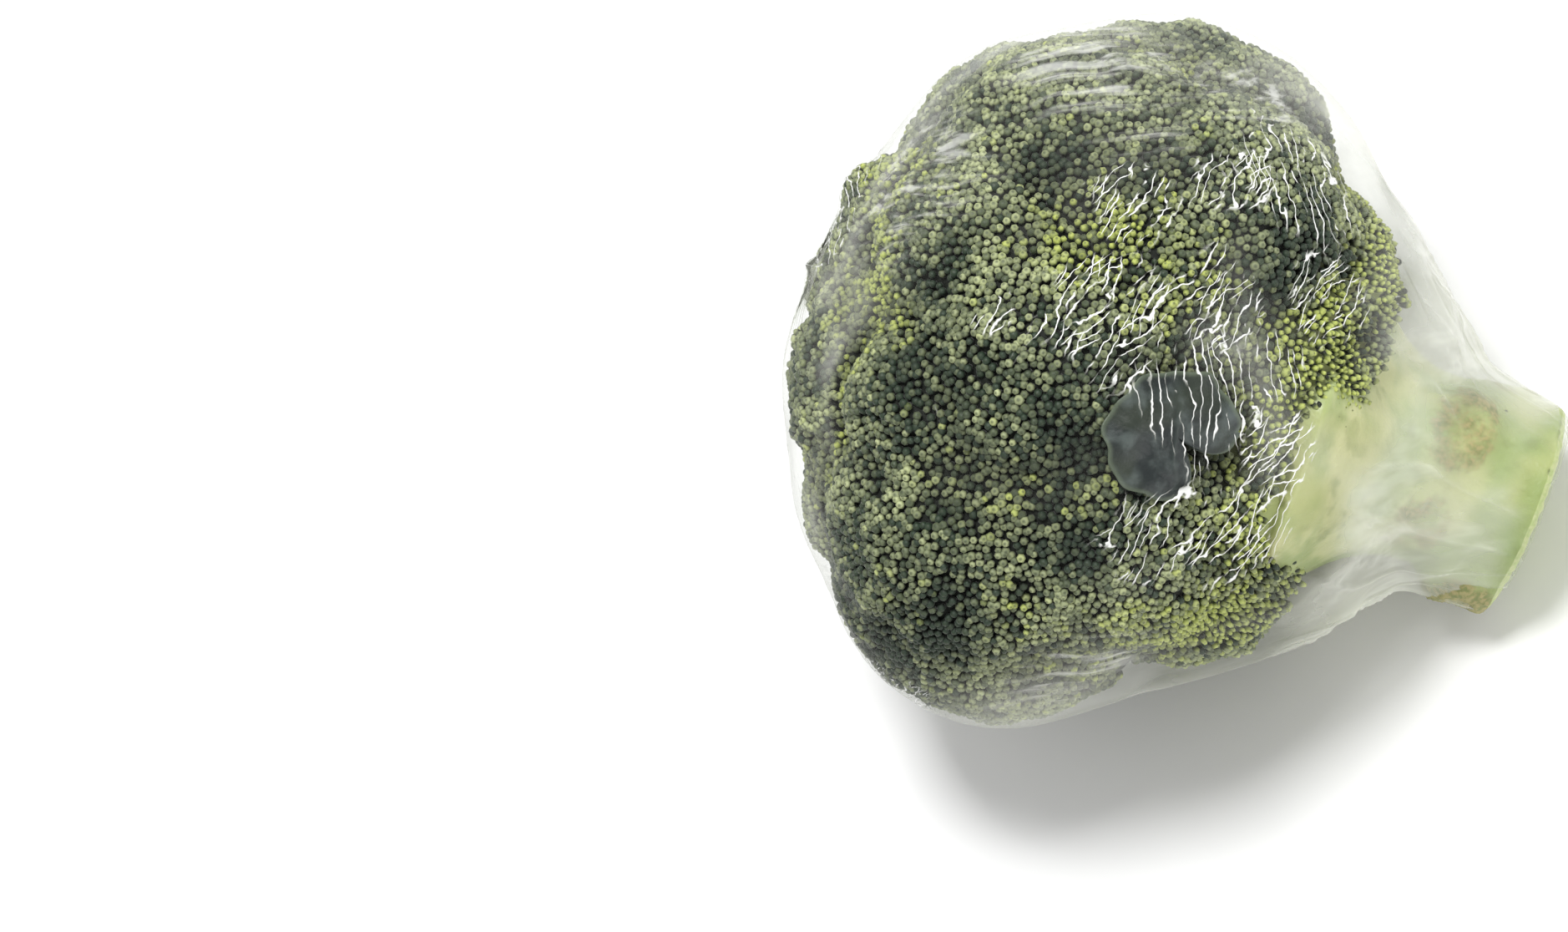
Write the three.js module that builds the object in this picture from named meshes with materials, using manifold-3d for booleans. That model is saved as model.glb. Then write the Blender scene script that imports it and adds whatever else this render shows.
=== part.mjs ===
// Broccoli head, cut and wrapped in clear film, lying on its side. Millimetres.
// It is modelled in the plant's own frame: the origin is the crown's centre, +Z runs along the stalk
// towards the crown's top, +X towards the crown's front, and +Y across it. The finished group is then
// laid down: +Z up, +X the way that the stalk points, and the origin on the surface that it lies on,
// straight below the crown's centre.
import * as THREE from "three";
import { ConvexGeometry } from "three/addons/geometries/ConvexGeometry.js";
import { ConvexHull } from "three/addons/math/ConvexHull.js";
import { mergeVertices } from "three/addons/utils/BufferGeometryUtils.js";
import Module from "manifold-3d";

// Crown
const crownWidth = 147;
const crownDepth = 140;
const crownRise = 59; // from its centre to its top
const crownFall = 61; // from its centre to the lowest buds

// Stalk
const stalkRadius = 19.5;
const stalkLength = 94; // from the crown's centre to the cut end
const stalkTop = 6; // above the crown's centre
const stalkLean = 3; // how far the cut end is off the crown's axis, towards +Y
const scarHeight = 3; // how far a cut leaf base stands out of the stalk

// Florets: the radius of a dome, which grows with the crown, how thick its block of buds is, and its branch
const large = { dome: 0.245 * crownWidth, depth: 22, branch: 7, detail: 3 };
const small = { dome: 0.19 * crownWidth, depth: 17, branch: 4.5, detail: 2 };
const roomInside = 1; // how far a block's measuring point keeps from its flat faces

// Leaf that lies over the buds
const leafWidth = 29;
const leafHeight = 26;
const leafThickness = 0.8;
const leafPolar = 105;
const leafTurn = -8;
const leafSpin = 20; // turned about its own middle
const leafNotch = 0.45; // how deep the notch is, as a share of the leaf
const leafNotchTurn = -67; // where the notch is, round the leaf's edge
const leafBridge = 0.97; // it bridges hollows that are deeper than this share of the crown's surface

// Film
const filmThickness = 0.4;
const filmGap = 0.5; // measured outwards from the crown's centre
const filmHole = 6; // where its gathered edges meet, over the cut end

const clearance = 0.3; // between pieces that touch

// The side that it is set down on: how far the stalk points down, and how far the front is turned
const setTilt = 35;
const setTurn = 15;

// Each floret's polar angle from the crown's top, its turn from the front towards +Y, how far out its
// dome reaches as a share of the crown's own surface, and its size.
const florets = [
  [81, -3, 1, large],
  [57, 24, 1, large],
  [62, -26, 0.99, large],
  [72, 56, 1, large],
  [79, -58, 1.01, large],
  [106, 47, 1.01, large],
  [104, -39, 1, large],
  [94, 19, 0.97, large],
  [136, 16, 1, small],
  [133, -28, 1.03, small],
  [141, 62, 1.05, small],
  [26, 50, 0.98, large],
  [30, -70, 1, large],
  [32, 175, 0.99, large],
  [92, 89, 1, large],
  [87, -91, 1.04, large],
  [62, 105, 1, large],
  [63, -113, 1, large],
  [69, 150, 1, large],
  [67, -160, 1, large],
  [101, 127, 1, large],
  [101, 172, 1, large],
  [102, -136, 1, large],
  [136, 105, 1, small],
  [134, 150, 1, small],
  [134, -165, 1, small],
  [136, -118, 1, small],
  [137, -72, 1.02, small],
];

// Cut leaf bases on the stalk: distance from the crown's centre, turn, half their width along and round
// the stalk, and their height as a share of scarHeight.
const scars = [
  [86, -92, 11, 13, 2],
  [74, 28, 10, 14, 0.7],
  [82, 100, 10, 13, 0.9],
  [72, -38, 9, 11, 0.5],
  [70, 165, 10, 13, 0.8],
  [84, -160, 9, 12, 0.8],
];

const budGreen = { color: 0x4f5f45, roughness: 0.75, metalness: 0 };
const paleGreen = { color: 0xb9c795, roughness: 0.5, metalness: 0 };
const leafGreen = { color: 0x3d4d4a, roughness: 0.4, metalness: 0 };
const clearFilm = { color: 0xf2f4f2, roughness: 0.1, metalness: 0, transparent: true, opacity: 0.25 };

const radians = THREE.MathUtils.degToRad;
const wasm = await Module();
wasm.setup();

// A direction from the crown's centre: polar from +Z, turn from +X towards +Y, in degrees.
function heading(polar, turn) {
  const across = Math.sin(radians(polar));
  return new THREE.Vector3(
    across * Math.cos(radians(turn)),
    across * Math.sin(radians(turn)),
    Math.cos(radians(polar)),
  );
}

// Distance from the centre to the crown's smooth outer shape, an ellipsoid with a flatter lower half.
function crownReach(direction) {
  const fall = direction.z > 0 ? crownRise : crownFall;
  return 1 / Math.hypot(
    direction.x / (crownDepth / 2),
    direction.y / (crownWidth / 2),
    direction.z / fall,
  );
}

function pointsOf(geometry) {
  const position = geometry.getAttribute("position");
  return Array.from({ length: position.count }, (_, i) =>
    new THREE.Vector3().fromBufferAttribute(position, i),
  );
}

// Moves each vertex to place(vertex) and joins the vertices that then meet.
function reshaped(geometry, place) {
  const bare = new THREE.BufferGeometry();
  const places = pointsOf(geometry).map(place);
  bare.setFromPoints(places);
  if (geometry.index) bare.setIndex(geometry.index);
  const merged = mergeVertices(bare, 1e-3);
  merged.computeVertexNormals();
  return merged;
}

function solidOf(geometry) {
  const merged = reshaped(geometry, (point) => point);
  return new wasm.Manifold(
    new wasm.Mesh({
      numProp: 3,
      vertProperties: merged.getAttribute("position").array,
      triVerts: new Uint32Array(merged.index.array),
    }),
  );
}

function geometryOf(solid) {
  const mesh = solid.getMesh();
  const geometry = new THREE.BufferGeometry();
  geometry.setAttribute("position", new THREE.BufferAttribute(mesh.vertProperties, 3));
  geometry.setIndex(new THREE.BufferAttribute(mesh.triVerts, 1));
  geometry.computeVertexNormals();
  return geometry;
}

// A floret's dome is part of a ball. Its block of buds lies between the dome and a flat base.
const blocks = florets.map(([polar, turn, share, size]) => {
  const direction = heading(polar, turn);
  const top = share * crownReach(direction);
  return {
    ...size,
    direction,
    base: top - size.depth,
    centre: direction.clone().multiplyScalar(top - size.dome),
    middle: direction.clone().multiplyScalar(top - size.depth / 2),
    outwards: new THREE.Vector3(direction.x, direction.y, 0).normalize(),
  };
});

// Distance along a ray from start to the ball's far side.
function ballReach(block, start, ray) {
  const offset = start.clone().sub(block.centre);
  const along = offset.dot(ray);
  return -along + Math.sqrt(Math.max(0, along * along - offset.lengthSq() + block.dome ** 2));
}

// The flat faces of a block: its base, its meeting planes with its neighbours, and its side to the stalk.
function flatFaces(block) {
  const base = { normal: block.direction.clone().negate(), level: -block.base };
  const stalkEdge = stalkRadius + stalkLean * Math.max(0, block.outwards.y);
  const stalkSide = { normal: block.outwards.clone().negate(), level: -(stalkEdge + clearance) };
  const meetings = blocks.filter((other) => other !== block).map((other) => {
    const normal = other.centre.clone().sub(block.centre);
    const apart = normal.length();
    normal.normalize();
    const share = (apart + (block.dome ** 2 - other.dome ** 2) / apart) / 2;
    return { normal, level: block.centre.dot(normal) + share - clearance / 2 };
  });
  const reachesStalk = block.direction.z < 0;
  return reachesStalk ? [base, stalkSide, ...meetings] : [base, ...meetings];
}

// A point inside a block, to measure its faces from: half way down, moved back from the faces it is beyond.
function insideOf(block, faces) {
  const point = block.middle.clone();
  for (let round = 0; round < 50; round++) {
    for (const face of faces) {
      const beyond = face.normal.dot(point) - face.level + roomInside;
      if (beyond > 0) point.addScaledVector(face.normal, -beyond);
    }
  }
  return point;
}

function floretGeometry(block) {
  const faces = flatFaces(block);
  const inside = insideOf(block, faces);
  return reshaped(new THREE.IcosahedronGeometry(1, block.detail), (ray) => {
    const reaches = faces
      .filter((face) => face.normal.dot(ray) > 1e-6)
      .map((face) => (face.level - face.normal.dot(inside)) / face.normal.dot(ray));
    return inside.clone().addScaledVector(ray, Math.min(ballReach(block, inside, ray), ...reaches));
  });
}

// Height of the cut leaf bases at a place on the stalk: each is a smooth mound.
function scarRise(distance, turn) {
  const rises = scars.map(([place, scarTurn, halfAlong, halfRound, share]) => {
    const swing = THREE.MathUtils.euclideanModulo(turn - scarTurn + 180, 360) - 180;
    const away = Math.hypot((distance - place) / halfAlong, (radians(swing) * stalkRadius) / halfRound);
    return share * scarHeight * THREE.MathUtils.smoothstep(1 - away, 0, 0.6);
  });
  return Math.max(...rises);
}

// The stem: a solid of revolution, leaning to one side and swelling at its leaf bases.
function stemGeometry() {
  const edge = 1.5;
  const rings = 9;
  const profile = [
    new THREE.Vector2(0, -stalkLength),
    new THREE.Vector2(stalkRadius - edge, -stalkLength),
  ];
  for (let i = 0; i <= rings; i++) {
    const height = THREE.MathUtils.lerp(-stalkLength + edge, -crownFall / 2, i / rings);
    profile.push(new THREE.Vector2(stalkRadius, height));
  }
  profile.push(new THREE.Vector2(0.8 * stalkRadius, stalkTop), new THREE.Vector2(0, stalkTop));
  const turned = new THREE.LatheGeometry(profile, 24).rotateX(Math.PI / 2);
  return reshaped(turned, ({ x, y, z }) => {
    const turn = THREE.MathUtils.radToDeg(Math.atan2(y, x));
    const radius = Math.hypot(x, y);
    const swell = radius > 1 ? 1 + scarRise(-z, turn) / stalkRadius : 1;
    const lean = stalkLean * THREE.MathUtils.smoothstep(-z, 0, stalkLength);
    return new THREE.Vector3(x * swell, y * swell + lean, z);
  });
}

// A branch from the stem's middle to a floret's base, with its end cut parallel to that base.
function branchGeometry(block) {
  const start = new THREE.Vector3(0, 0, Math.min(0, block.direction.z * crownFall * 0.6));
  const end = block.direction.clone().multiplyScalar(block.base - clearance);
  const along = end.clone().sub(start).normalize();
  const length = start.distanceTo(end);
  const branch = new THREE.CylinderGeometry(block.branch, block.branch * 1.2, length, 7);
  branch.translate(0, length / 2, 0);
  branch.applyQuaternion(new THREE.Quaternion().setFromUnitVectors(new THREE.Vector3(0, 1, 0), along));
  return reshaped(branch.translate(...start.toArray()), (point) => {
    const isEnd = point.clone().sub(start).dot(along) > length / 2;
    const short = (end.dot(block.direction) - point.dot(block.direction)) / along.dot(block.direction);
    return isEnd ? point.addScaledVector(along, short) : point;
  });
}

function stalkGeometry() {
  const branches = blocks.map((block) => solidOf(branchGeometry(block)));
  return geometryOf(branches.reduce((stalk, branch) => stalk.add(branch), solidOf(stemGeometry())));
}

// Distance from the crown's centre to the outermost dome in a direction.
function skinReach(direction) {
  const centre = new THREE.Vector3();
  return Math.max(...blocks.map((block) =>
    block.direction.dot(direction) > 0.5 ? ballReach(block, centre, direction) : 0,
  ));
}

// The leaf is a thin lens, bent over the domes, with a notch in its edge between two lobes.
function leafGeometry() {
  const facing = heading(leafPolar, leafTurn);
  const across = new THREE.Vector3(0, 0, -1).applyAxisAngle(facing, radians(leafSpin));
  const upwards = facing.clone().cross(across);
  return reshaped(new THREE.SphereGeometry(1, 24, 8).rotateX(Math.PI / 2), ({ x, y, z }) => {
    const notch = 1 - leafNotch * Math.exp(-(((Math.atan2(y, x) - radians(leafNotchTurn)) / 0.32) ** 2));
    const ray = facing.clone().multiplyScalar(crownReach(facing))
      .addScaledVector(across, (x * notch * leafWidth) / 2)
      .addScaledVector(upwards, (y * notch * leafHeight) / 2)
      .normalize();
    const reach = Math.max(skinReach(ray), leafBridge * crownReach(ray));
    return ray.multiplyScalar(reach + clearance + (leafThickness / 2) * (1 + z));
  });
}

const pushedOut = (points, distance) =>
  points.map((point) => point.clone().setLength(point.length() + distance));

// The film is stretched over everything that it holds, with a hole where its edges meet.
function filmGeometry(held) {
  const points = held.flatMap(pointsOf);
  const inner = solidOf(new ConvexGeometry(pushedOut(points, filmGap)));
  const outer = solidOf(new ConvexGeometry(pushedOut(points, filmGap + filmThickness)));
  const hole = new THREE.CylinderGeometry(filmHole / 2, filmHole / 2, 8, 16).rotateX(Math.PI / 2);
  hole.translate(0, stalkLean, -stalkLength);
  return geometryOf(outer.subtract(inner).subtract(solidOf(hole)));
}

// Volume and centre of a closed geometry, as the sum of the pyramids from the origin to its faces.
function bulk(geometry) {
  const points = pointsOf(geometry);
  const centre = new THREE.Vector3();
  let volume = 0;
  for (let i = 0; i < geometry.index.count; i += 3) {
    const [a, b, c] = [0, 1, 2].map((k) => points[geometry.index.getX(i + k)]);
    const pyramid = a.dot(b.clone().cross(c)) / 6;
    volume += pyramid;
    centre.addScaledVector(a.clone().add(b).add(c), pyramid / 4);
  }
  return { volume, centre: centre.divideScalar(volume) };
}

function centreOfMass(geometries) {
  const bulks = geometries.map(bulk);
  const total = bulks.reduce((sum, part) => sum + part.volume, 0);
  return bulks.reduce(
    (sum, part) => sum.addScaledVector(part.centre, part.volume / total),
    new THREE.Vector3(),
  );
}

// The flat face of the wrapped head that it comes to rest on. It starts on the face that points most
// nearly down, and rolls over an edge for as long as the centre of mass lies beyond that edge.
function restingFace(outside, centre, down) {
  const hull = new ConvexHull().setFromPoints(outside);
  let face = hull.faces.reduce((best, other) =>
    other.normal.dot(down) > best.normal.dot(down) ? other : best,
  );
  for (let rolls = 0; rolls < hull.faces.length; rolls++) {
    const edges = [0, 1, 2].map((i) => face.getEdge(i));
    const beyond = edges.find((edge) => {
      const side = edge.head().point.clone().sub(edge.tail().point).cross(face.normal);
      return centre.clone().sub(edge.head().point).dot(side) > 0;
    });
    if (!beyond) break;
    face = beyond.twin.face;
  }
  return face;
}

// Lays the plant's frame down on a face: +X is the way that the stalk points along the surface.
function layDown(group, face) {
  const up = face.normal.clone().negate();
  const stalkWay = new THREE.Vector3(0, 0, -1);
  const ahead = stalkWay.addScaledVector(up, -stalkWay.dot(up)).normalize();
  const turn = new THREE.Matrix4().makeBasis(ahead, up.clone().cross(ahead), up).transpose();
  group.quaternion.setFromRotationMatrix(turn);
  group.position.set(0, 0, face.normal.dot(face.midpoint));
}

function meshOf(name, geometry, look) {
  const mesh = new THREE.Mesh(geometry, new THREE.MeshStandardMaterial(look));
  mesh.name = name;
  return mesh;
}

const stalk = stalkGeometry();
const domes = blocks.map(floretGeometry);
const leaf = leafGeometry();
const held = [stalk, ...domes, leaf];
const film = filmGeometry(held);

const head = new THREE.Group();
head.add(meshOf("stalk", stalk, paleGreen));
domes.forEach((dome, i) => {
  head.add(meshOf(`floret_${String(i + 1).padStart(2, "0")}`, dome, budGreen));
});
head.add(meshOf("leaf", leaf, leafGreen));
head.add(meshOf("wrap_film", film, clearFilm));

const setDown = heading(90 + setTilt, 180 + setTurn);
layDown(head, restingFace(pointsOf(film), centreOfMass(held), setDown));

const broccoli = new THREE.Group();
broccoli.add(head);
export default broccoli;
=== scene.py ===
import math
import bmesh
import bpy
import numpy as np
from mathutils import Matrix, Vector


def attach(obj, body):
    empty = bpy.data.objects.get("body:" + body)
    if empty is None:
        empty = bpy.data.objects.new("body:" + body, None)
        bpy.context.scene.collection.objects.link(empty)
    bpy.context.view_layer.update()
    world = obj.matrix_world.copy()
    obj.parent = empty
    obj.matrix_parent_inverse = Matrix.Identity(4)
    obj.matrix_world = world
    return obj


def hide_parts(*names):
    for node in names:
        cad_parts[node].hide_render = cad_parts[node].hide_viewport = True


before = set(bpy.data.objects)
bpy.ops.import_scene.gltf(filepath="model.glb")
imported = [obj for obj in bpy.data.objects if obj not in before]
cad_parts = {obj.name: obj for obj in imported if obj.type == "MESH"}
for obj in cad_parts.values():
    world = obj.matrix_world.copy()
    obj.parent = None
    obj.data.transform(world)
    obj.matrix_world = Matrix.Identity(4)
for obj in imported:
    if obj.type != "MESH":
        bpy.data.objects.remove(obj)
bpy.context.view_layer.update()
goldenAngle = math.pi * (3 - math.sqrt(5))

# How the head lies: the stalk points down by tilt, the crown's front is turned about the stalk,
# and height is how high the crown's centre is over the surface, all as in the CAD model.
lie = {"tilt": 32.28, "turn": 14.78, "height": 0.06589}
tilt, turn = math.radians(lie["tilt"]), math.radians(lie["turn"])
crownCentre = np.array([0, 0, lie["height"]])
plantTop = np.array([-math.cos(tilt), 0, math.sin(tilt)])
plantFront = np.array([math.sin(tilt), 0, math.cos(tilt)]) * math.cos(turn) - [0, math.sin(turn), 0]
plantAcross = np.cross(plantTop, plantFront)
plantAxes = np.stack([plantFront, plantAcross, plantTop])

# The camera looks against the plant's front. In its picture the stalk points right and roll down.
roll = math.radians(20.0)
frameRight = -math.cos(roll) * plantTop + math.sin(roll) * plantAcross
frameUp = math.sin(roll) * plantTop + math.cos(roll) * plantAcross


def say(stage):
    print("broccoli:", stage, flush=True)


def toWorld(points):  # the crown's centre plus each plant coordinate times its axis
    return crownCentre + points @ plantAxes


def toPlant(points):  # back from the frame to plant coordinates: front, across, top
    return (points - crownCentre) @ plantAxes.T


def plantRays(polar, around):  # directions: polar radians from the crown's top, around from its front
    across = np.sin(polar)
    return np.stack([across * np.cos(around), across * np.sin(around), np.cos(polar) + 0 * around], -1)


def evenTurns(count):  # count angles evenly round
    return np.arange(count) * 2 * math.pi / count


def turnFrom(around, degrees):  # the signed angle from a turn given in degrees, -pi to pi
    return (around - math.radians(degrees) + math.pi) % (2 * math.pi) - math.pi


def unit(vectors):
    return vectors / np.maximum(np.linalg.norm(vectors, axis=-1, keepdims=True), 1e-12)


def rise(values, low, high):  # smooth step from 0 at low to 1 at high
    t = np.clip((values - low) / (high - low), 0, 1)
    return t * t * (3 - 2 * t)


def softLeast(a, b, blend):  # the lesser of two lengths, rounded where they differ by less than blend
    near = np.clip(1 - np.abs(a - b) / blend, 0, None)
    return np.minimum(a, b) - near * near * blend / 4


# A spot is a place in plant coordinates, a width round it and in some a height, in millimetres.
def spotAway(local, spot):  # distance from a spot, in its widths
    return np.linalg.norm(local - 0.001 * np.array(spot[:3]), axis=-1) / (0.001 * spot[3])


def bell(local, spot):  # exp(-distance^2): 1 in the spot's middle, falling to 0 away from it
    return np.exp(-(spotAway(local, spot) ** 2))


def spotShare(local, spots):  # the greatest bell of several spots
    return np.max([bell(local, spot) for spot in spots], axis=0)


def lumps(points, size, seed, waves=14):  # smooth noise, about -1 to 1: waves in random directions
    dice = np.random.default_rng(seed)
    ways = unit(dice.normal(size=(waves, 3))) * dice.uniform(0.6, 1.5, (waves, 1)) * 2 * math.pi / size
    return np.sin(points @ ways.T + dice.uniform(0, 2 * math.pi, waves)).sum(-1) / math.sqrt(waves)


def spiralCap(count, widest):  # directions spread evenly on a cap about +Z that reaches widest radians
    steps = np.arange(count) + 0.5
    height = 1 - steps / count * (1 - math.cos(widest))
    across = np.sqrt(1 - height**2)
    around = steps * goldenAngle
    return np.stack([across * np.cos(around), across * np.sin(around), height], -1)


def frameAbout(normals):  # two directions square to each normal and to each other
    helper = np.where(np.abs(normals[..., 2:]) < 0.9, [0.0, 0.0, 1.0], [1.0, 0.0, 0.0])
    side = unit(np.cross(helper, normals))
    return side, np.cross(normals, side)


def gridFaces(rows, columns, closed):  # quads of a grid; closed joins its last column to its first
    wide = columns if closed else columns - 1
    row, column = np.meshgrid(np.arange(rows - 1), np.arange(wide), indexing="ij")
    after = (column + 1) % columns
    below, above = row * columns, (row + 1) * columns
    corners = [below + column, below + after, above + after, above + column]
    return np.stack(corners, -1).reshape(-1, 4)


def ringFan(centre, ring):  # triangles from one vertex to each step of a ring
    return np.stack([np.full(len(ring), centre), ring, np.roll(ring, -1)], -1)


def endFans(rows, columns):  # close a grid's first and last row, each to a vertex that follows the grid
    last = (rows - 1) * columns + np.arange(columns)
    first = np.arange(columns)[::-1]
    return np.concatenate([ringFan(rows * columns, first), ringFan(rows * columns + 1, last)])


def addPiece(name, points, faceSets, material, body="root", **values):
    mesh = bpy.data.meshes.new(name)
    mesh.vertices.add(len(points))
    mesh.vertices.foreach_set("co", points.astype(np.float32).ravel())
    loops = np.concatenate([faces.ravel() for faces in faceSets])
    totals = np.concatenate([np.full(len(faces), faces.shape[1]) for faces in faceSets])
    mesh.loops.add(len(loops))
    mesh.loops.foreach_set("vertex_index", loops.astype(np.int32))
    mesh.polygons.add(len(totals))
    mesh.polygons.foreach_set("loop_start", (np.cumsum(totals) - totals).astype(np.int32))
    mesh.polygons.foreach_set("use_smooth", np.ones(len(totals), bool))
    mesh.update(calc_edges=True)
    for key, numbers in values.items():
        layer = mesh.attributes.new(key, "FLOAT", "POINT")
        layer.data.foreach_set("value", np.asarray(numbers, np.float32).ravel())
    mesh.materials.append(material)
    piece = bpy.data.objects.new(name, mesh)
    bpy.context.scene.collection.objects.link(piece)
    if body:
        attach(piece, body)
    return piece


# A wire wraps a socket, so that shader maths reads as Python.
class Wire:
    def __init__(self, skin, socket):
        self.skin, self.socket = skin, socket

    def maths(self, operation, first, second):
        return self.skin.node("Math", {"operation": operation}, {0: first, 1: second})

    def __add__(self, other):
        return self.maths("ADD", self, other)

    def __radd__(self, other):
        return self.maths("ADD", other, self)

    def __sub__(self, other):
        return self.maths("SUBTRACT", self, other)

    def __rsub__(self, other):
        return self.maths("SUBTRACT", other, self)

    def __mul__(self, other):
        return self.maths("MULTIPLY", self, other)

    def __rmul__(self, other):
        return self.maths("MULTIPLY", other, self)

    def __pow__(self, other):
        return self.maths("POWER", self, other)


class Skin:
    def __init__(self, name):
        self.material = bpy.data.materials.new(name)
        self.material.use_nodes = True
        self.tree = self.material.node_tree
        self.base = self.tree.nodes["Principled BSDF"]
        self.out = self.tree.nodes["Material Output"]

    def plug(self, socket, value):
        if isinstance(value, Wire):
            self.tree.links.new(value.socket, socket)
        else:
            socket.default_value = value

    def node(self, kind, settings=None, sockets=None, output=0):
        made = self.tree.nodes.new("ShaderNode" + kind)
        for key, value in (settings or {}).items():
            setattr(made, key, value)
        for key, value in (sockets or {}).items():
            self.plug(made.inputs[key], value)
        return Wire(self, made.outputs[output])

    def place(self):
        return self.node("TexCoord", output="Object")

    def kept(self, name):
        return self.node("Attribute", {"attribute_name": name}, output="Fac")

    def noise(self, scale, detail=3.0, place=None, rough=0.5):
        sockets = {"Vector": place or self.place(), "Scale": scale, "Detail": detail, "Roughness": rough}
        return self.node("TexNoise", {}, sockets)

    def stretched(self, scale, place=None, turned=(0, 0, 0)):
        sockets = {"Vector": place or self.place(), "Scale": scale, "Rotation": turned}
        return self.node("Mapping", {}, sockets)

    def between(self, value, low, high, least=0.0, most=1.0):
        ends = {"From Min": low, "From Max": high, "To Min": least, "To Max": most}
        smooth = {"interpolation_type": "SMOOTHSTEP"}
        return self.node("MapRange", smooth, {"Value": value, **ends})

    def bump(self, strength, distance, height):
        sockets = {"Strength": strength, "Distance": distance, "Height": height}
        return self.node("Bump", {}, sockets)

    def turnedTo(self, x, y, z):  # place measured along three directions square to each other
        return self.stretched((1, 1, 1), turned=Matrix([x.tolist(), y.tolist(), z.tolist()]).to_euler())

    def blend(self, share, first, second):  # the mix node's colours are its inputs 6 and 7, output 2
        return self.node("Mix", {"data_type": "RGBA"}, {0: share, 6: first, 7: second}, 2)

    def finish(self, **sockets):
        for key, value in sockets.items():  # Base_Color stands for the socket Base Color
            self.plug(self.base.inputs[key.replace("_", " ")], value)
        return self.material


# Crown
crown = {
    "depth": 0.070, "width": 0.0735, "rise": 0.059, "fall": 0.061, "fill": 0.905, "blend": 0.0012,
    "lumpHeight": 0.0014, "lumpSize": 0.019, "middle": 0.068,
    "swells": [(4, 64, -28, 17, 3.4), (20, -60, 26, 18, 1.5)],
}


def cornersOf(node):
    corners = np.empty(len(node.data.vertices) * 3, np.float32)
    node.data.vertices.foreach_get("co", corners)
    return corners.reshape(-1, 3).astype(float)


def domeOf(node):
    # The dome is part of a ball: a least-squares fit of a ball to the node's corners, kept to those
    # that lie on it. The node's other faces are the flat sides and base of the block.
    corners = cornersOf(node)
    triangles = np.empty(len(node.data.loops), np.int32)
    node.data.loops.foreach_get("vertex_index", triangles)
    faces = corners[triangles.reshape(-1, 3)]
    outwards = unit(corners.mean(0) - crownCentre)
    height = (corners - crownCentre) @ outwards
    chosen = corners[height > np.median(height)]
    for _ in range(12):
        terms = np.c_[2 * chosen, np.ones(len(chosen))]
        answer = np.linalg.lstsq(terms, (chosen**2).sum(1), rcond=None)[0]
        centre = answer[:3]
        radius = math.sqrt(answer[3] + centre @ centre)
        missed = np.abs(np.linalg.norm(corners - centre, axis=1) - radius)
        chosen = corners[missed < max(0.00005, np.quantile(missed, 0.4))]
    normals = unit(np.cross(faces[:, 1] - faces[:, 0], faces[:, 2] - faces[:, 0]))
    onBall = (np.abs(np.linalg.norm(faces - centre, axis=2) - radius) < 0.0001).all(1)
    direction = unit(centre - crownCentre)
    isBase = (normals @ direction) < -0.98
    sides = ~onBall & ~isBase
    return {
        "name": node.name, "centre": centre, "radius": radius,
        "direction": direction, "middle": corners.mean(0),
        "sideNormals": normals[sides], "sideLevels": (normals[sides] * faces[sides, 0]).sum(1),
        "base": ((corners - crownCentre) @ direction).min(),
    }


domes = [domeOf(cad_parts[name]) for name in sorted(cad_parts) if name.startswith("floret_")]
domeCentres = toPlant(np.stack([dome["centre"] for dome in domes]))
domeRadii = np.array([dome["radius"] for dome in domes])


def ovalReach(rays):  # the crown's smooth outer shape, an ellipsoid with a flatter lower half
    fall = np.where(rays[..., 2] > 0, crown["rise"], crown["fall"])
    return 1 / np.sqrt((rays[..., 0] / crown["depth"]) ** 2 + (rays[..., 1] / crown["width"]) ** 2
                       + (rays[..., 2] / fall) ** 2)


def domeReaches(rays):  # along plant rays from the crown's centre, how far out each dome is
    along = rays @ domeCentres.T
    inside = along**2 - (domeCentres**2).sum(1) + domeRadii**2
    return along + np.sign(inside) * np.sqrt(np.abs(inside))


def hollowShare(rays):  # 0 on the low lumps of the crown, up to 2 between them
    places = rays * crown["middle"]
    bumps = lumps(places, crown["lumpSize"], 51) + 0.6 * lumps(places, 0.6 * crown["lumpSize"], 52)
    return np.clip(0.55 - 0.55 * bumps, 0, 2)


def crownReach(rays):
    # The buds' outer surface: a soft maximum of the domes and of a slightly smaller oval that fills the
    # valleys between them, blend * log(sum(exp(reach / blend))), with low lumps.
    polar = np.arccos(np.clip(rays[:, 2], -1, 1))
    filled = crown["fill"] * ovalReach(rays) * (1 - 0.20 * rise(polar, 1.95, 2.40))
    reaches = np.concatenate([domeReaches(rays), filled[:, None]], 1)
    top = reaches.max(1)
    soft = top + crown["blend"] * np.log(np.exp((reaches - top[:, None]) / crown["blend"]).sum(1))
    for spot in crown["swells"]:
        soft = soft + 0.001 * spot[4] * bell(rays * soft[:, None], spot)
    return soft - 0.0003 - crown["lumpHeight"] * hollowShare(rays)


def crownNormals(rays, reach):
    small = 1e-3
    side, other = frameAbout(rays)
    slopes = [(crownReach(unit(rays + small * way)) - reach) / small / reach for way in (side, other)]
    return unit(rays - slopes[0][:, None] * side - slopes[1][:, None] * other)


# Buds
buds = {
    "spacing": 0.00180, "size": 0.00095, "clusterSpacing": 0.0085, "clusterDepth": 0.0004,
    "yellowSize": 0.030, "lowest": 2.45, "fleshRows": 120, "fleshColumns": 220, "fleshDepth": 0.0021,
    "coreDepth": 0.0062, "jitter": 0.00016, "sink": 0.00030, "uneven": 0.09, "capRadius": 0.067,
}


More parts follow.
